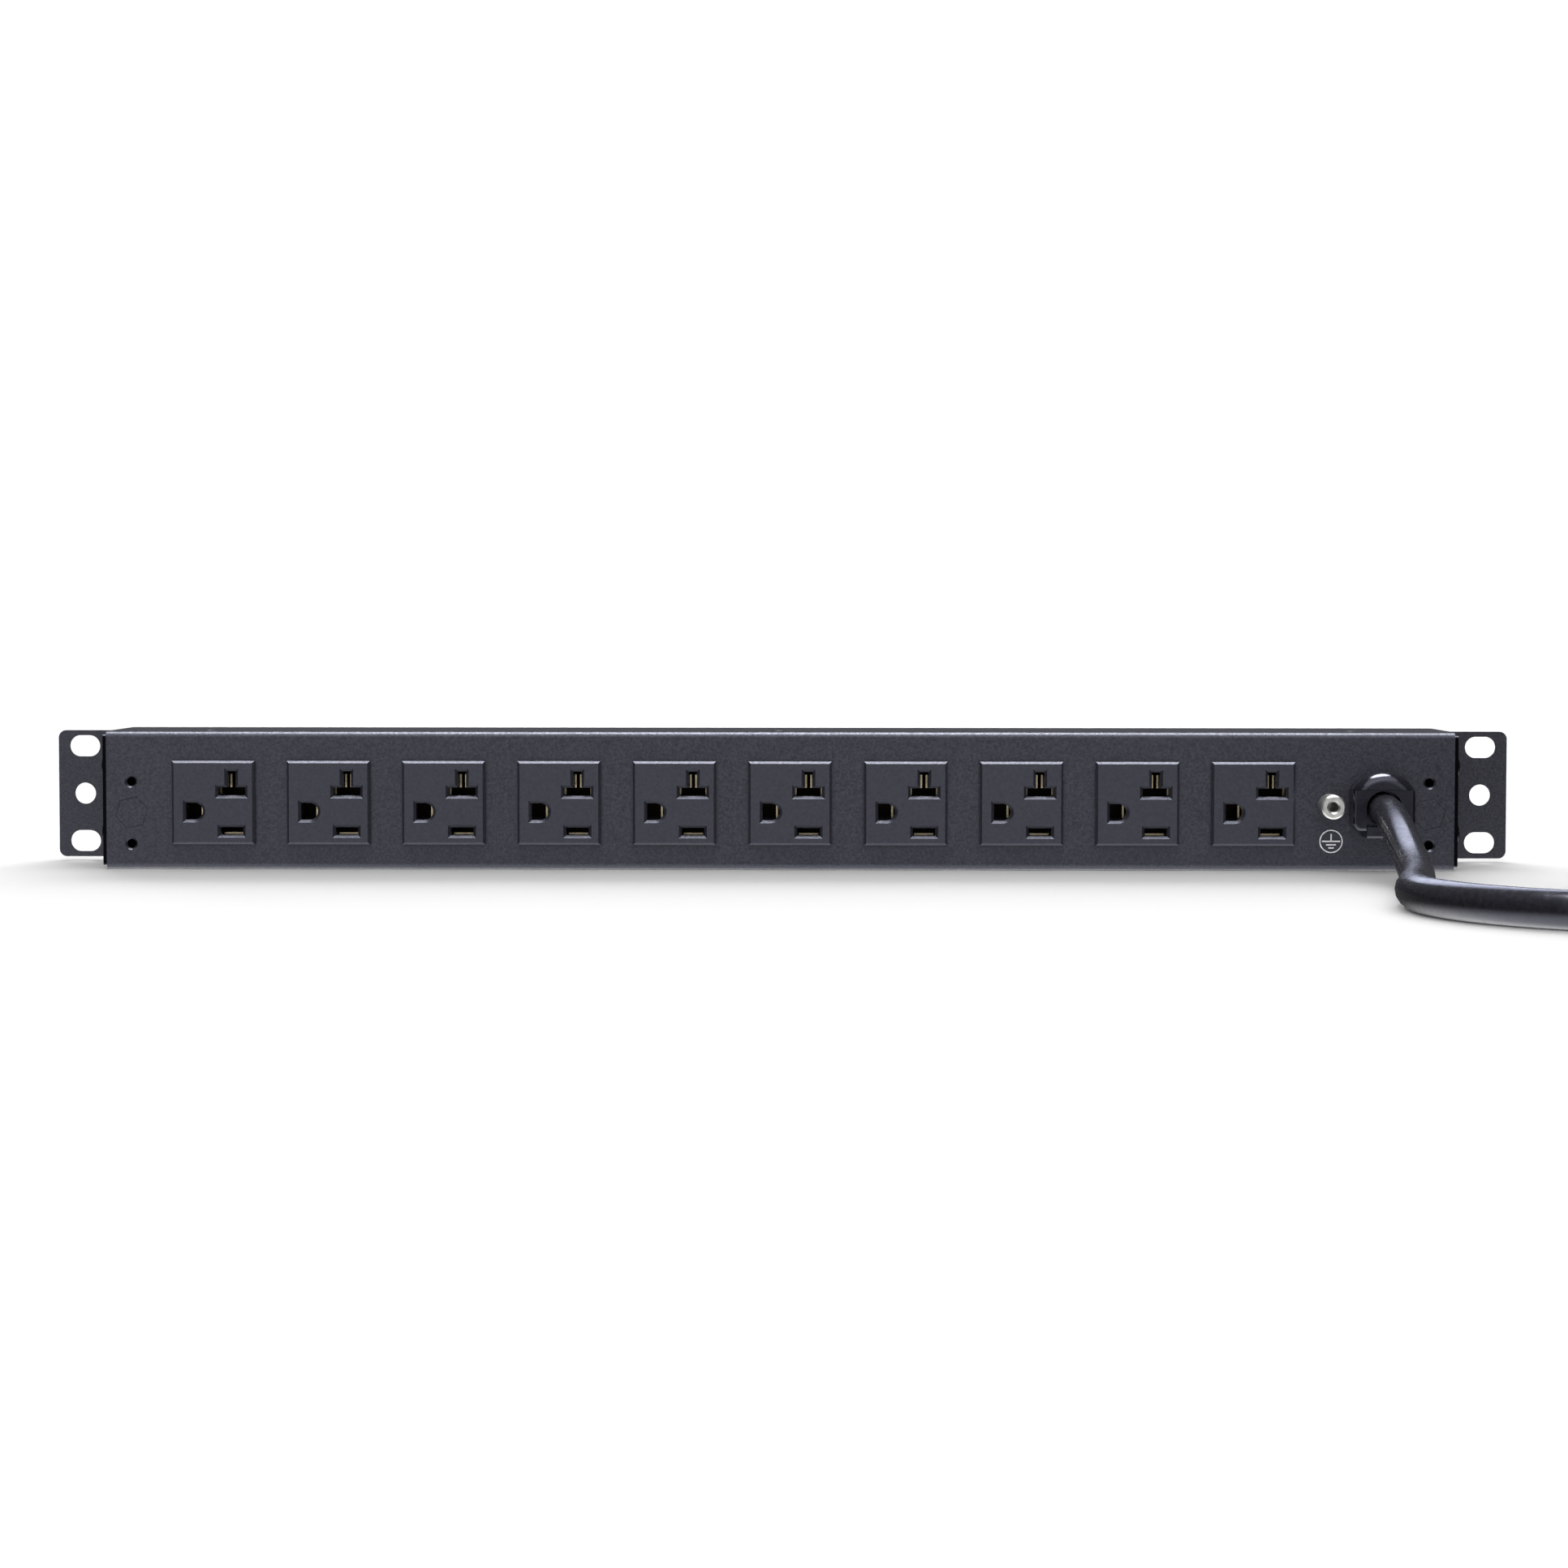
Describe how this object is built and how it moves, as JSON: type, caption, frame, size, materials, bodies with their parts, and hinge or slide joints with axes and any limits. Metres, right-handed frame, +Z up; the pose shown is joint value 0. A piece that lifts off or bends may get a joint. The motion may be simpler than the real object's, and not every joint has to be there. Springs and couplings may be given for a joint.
{
  "type": "rack power strip",
  "caption": "Long flat rack-mount power strip: a steel box with square sockets along its rear, slotted ears, an earth stud and a thick cord with a plug.",
  "frame": {"origin": "middle of the underside of the strip's own box, without the cord", "axes": "+X along the strip, to the right as its rear sockets are faced, +Y out of the front face that the rack ears are flush with, +Z up"},
  "size_m": [0.6202, 0.2778, 0.0444],
  "materials": {
    "case_coat": "textured powder coat",
    "ear_coat": "textured powder coat",
    "black_screw": "black oxide",
    "outlet_plastic": "fine texture",
    "contact_brass": "satin",
    "insulator_board": "pressed board",
    "nickel": "satin nickel plate",
    "white_print": "screen print",
    "bushing_nylon": "glossy",
    "switch_plastic": "semi-gloss",
    "button_plastic": "semi-gloss",
    "line_wire": "smooth vinyl",
    "neutral_wire": "smooth vinyl",
    "ground_wire": "smooth vinyl",
    "cord_jacket": "semi-gloss vinyl jacket",
    "tie_fabric": "hook and loop strap",
    "plug_vinyl": "satin moulded vinyl",
    "blade_nickel": "nickel plate"
  },
  "bodies": {
    "case": {"rear_panel": "case_coat", "front_chassis": "case_coat", "clinch_standoff_left": "case_coat", "clinch_standoff_right": "case_coat", "ear_left": "ear_coat", "ear_right": "ear_coat", "ear_screws_left": "black_screw", "ear_screws_right": "black_screw", "cover_screws": "black_screw", "front_screws": "black_screw", "outlet_01": "outlet_plastic", "outlet_02": "outlet_plastic", "outlet_03": "outlet_plastic", "outlet_04": "outlet_plastic", "outlet_05": "outlet_plastic", "outlet_06": "outlet_plastic", "outlet_07": "outlet_plastic", "outlet_08": "outlet_plastic", "outlet_09": "outlet_plastic", "outlet_10": "outlet_plastic", "front_outlet_1": "outlet_plastic", "front_outlet_2": "outlet_plastic", "outlet_backs": "outlet_plastic", "front_outlet_backs": "outlet_plastic", "neutral_contacts": "contact_brass", "line_contacts": "contact_brass", "ground_contacts": "contact_brass", "neutral_bus": "contact_brass", "line_bus": "contact_brass", "ground_bus": "contact_brass", "front_posts": "contact_brass", "switch_tabs": "contact_brass", "breaker_tabs": "contact_brass", "bus_insulator": "insulator_board", "ground_stud": "nickel", "ground_stud_nut": "nickel", "ground_ring_terminal": "nickel", "breaker_nut": "nickel", "earth_symbol": "white_print", "strain_relief_body": "bushing_nylon", "strain_relief_cap": "bushing_nylon", "switch_body": "switch_plastic", "breaker_body": "switch_plastic", "line_lead": "line_wire", "switch_lead": "line_wire", "line_jumper": "line_wire", "neutral_lead": "neutral_wire", "ground_lead": "ground_wire", "ground_jumper": "ground_wire", "power_cord": "cord_jacket", "cord_tail": "cord_jacket", "cord_coil": "cord_jacket", "cord_tie": "tie_fabric", "plug_body": "plug_vinyl", "plug_blades": "blade_nickel", "plug_ground_pin": "blade_nickel"},
    "rocker": {"rocker": "switch_plastic"},
    "reset_button": {"reset_button": "button_plastic"}
  },
  "joints": [
    {"name": "rocker_tilt", "type": "hinge", "parent": "case", "child": "rocker", "pos_m": [0.184, 0.0227, 0.0222], "axis": [0, 0, 1], "range_deg": [0, 20]},
    {"name": "reset_travel", "type": "slide", "parent": "case", "child": "reset_button", "axis": [0, 1, 0], "range_m": [0, 0.0035]}
  ]
}
